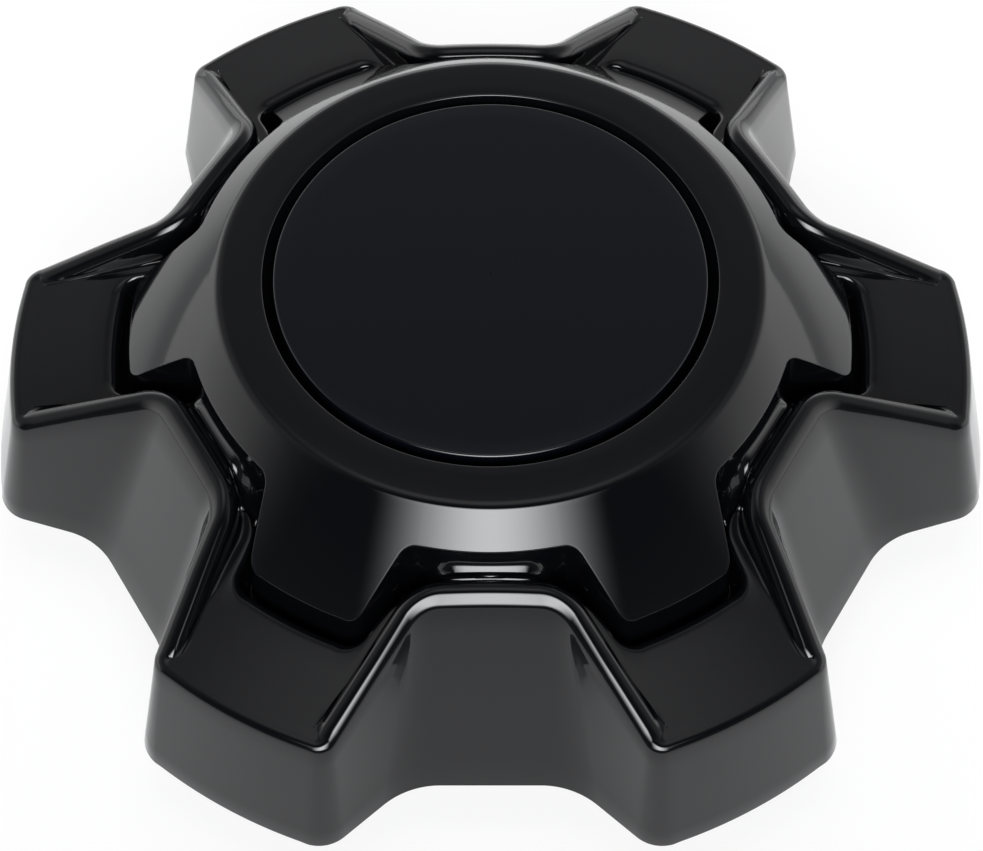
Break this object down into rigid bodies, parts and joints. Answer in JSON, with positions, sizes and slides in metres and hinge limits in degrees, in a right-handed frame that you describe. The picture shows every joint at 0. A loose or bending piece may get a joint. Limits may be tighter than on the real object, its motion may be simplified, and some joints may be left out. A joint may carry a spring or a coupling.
{
  "type": "axle cover",
  "caption": "Lobed gloss-black wheel centre cap with a raised dome, bare centre disc, snap legs and a wire ring behind.",
  "frame": {"origin": "on the cover's axis, in the plane of the snap legs' ends, on which it stands", "axes": "+Z along the axle, out of the wheel towards the face; +X through the middle of a lobe"},
  "size_m": [0.145, 0.1368, 0.0468],
  "materials": {
    "gloss_black": "piano black, polished",
    "disc_black": "black, polished",
    "spring_wire": "drawn spring wire"
  },
  "bodies": {
    "root": {"cap_shell": "gloss_black", "centre_disc": "disc_black", "retaining_ring": "spring_wire"}
  },
  "joints": []
}
